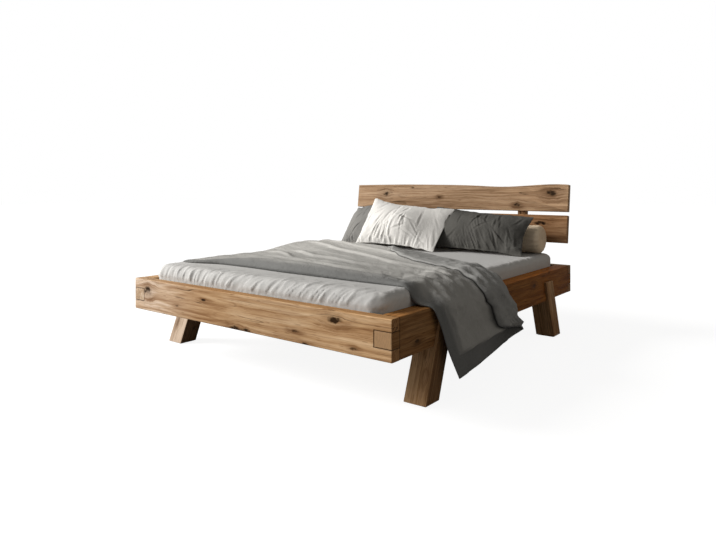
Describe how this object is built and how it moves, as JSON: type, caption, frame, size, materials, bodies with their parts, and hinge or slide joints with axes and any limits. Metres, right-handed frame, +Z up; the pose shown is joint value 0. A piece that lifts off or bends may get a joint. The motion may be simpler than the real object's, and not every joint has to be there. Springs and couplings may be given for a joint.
{
  "type": "wooden double bed",
  "caption": "Low rustic oak beam bed with finger-jointed corners, splayed legs, a leaning plank headboard, slatted base, mattress, pillows and a blanket drawn over one side.",
  "frame": {"origin": "on the floor under the plan centre of the bed frame, at the middle of the centre leg's pad", "axes": "+X to the right seen from the foot end, +Y from the foot beam to the headboard, +Z up"},
  "size_m": [1.9232, 2.2003, 0.9585],
  "materials": {
    "oak": "oiled rustic oak with knots and cracks, satin",
    "pine": "planed, untreated",
    "zinc_steel": "zinc plated",
    "felt": "pressed felt",
    "webbing": "woven tape",
    "mattress_cover": "knitted cover",
    "sheet_cotton": "light grey cotton",
    "blanket_cotton": "light grey quilted cotton",
    "grey_linen": "grey cotton",
    "white_linen": "off-white cotton",
    "dark_linen": "dark grey cotton",
    "beige_linen": "beige cotton"
  },
  "bodies": {
    "root": {"foot_beam": "oak", "head_beam": "oak", "left_side_beam": "oak", "right_side_beam": "oak", "foot_left_leg": "oak", "foot_right_leg": "oak", "head_left_leg": "oak", "head_right_leg": "oak", "upper_headboard_plank": "oak", "lower_headboard_plank": "oak", "left_headboard_post": "oak", "right_headboard_post": "oak", "left_slats": "pine", "right_slats": "pine", "left_slat_ledger": "pine", "right_slat_ledger": "pine", "centre_beam": "pine", "centre_leg": "pine", "foot_left_corner_bracket": "zinc_steel", "foot_right_corner_bracket": "zinc_steel", "head_left_corner_bracket": "zinc_steel", "head_right_corner_bracket": "zinc_steel", "foot_beam_hanger": "zinc_steel", "head_beam_hanger": "zinc_steel", "corner_screws": "zinc_steel", "hanger_screws": "zinc_steel", "ledger_screws": "zinc_steel", "plank_screws": "zinc_steel", "leg_bolts": "zinc_steel", "leg_bolt_washers": "zinc_steel", "leg_inserts": "zinc_steel", "post_bolts": "zinc_steel", "post_bolt_washers": "zinc_steel", "post_inserts": "zinc_steel", "centre_leg_stud": "zinc_steel", "leg_glides": "felt", "centre_leg_glide": "felt", "left_slat_straps": "webbing", "right_slat_straps": "webbing", "mattress": "mattress_cover", "fitted_sheet": "sheet_cotton", "blanket": "blanket_cotton", "grey_pillow": "grey_linen", "white_pillow": "white_linen", "dark_pillow": "dark_linen", "neck_roll": "beige_linen"}
  },
  "joints": []
}
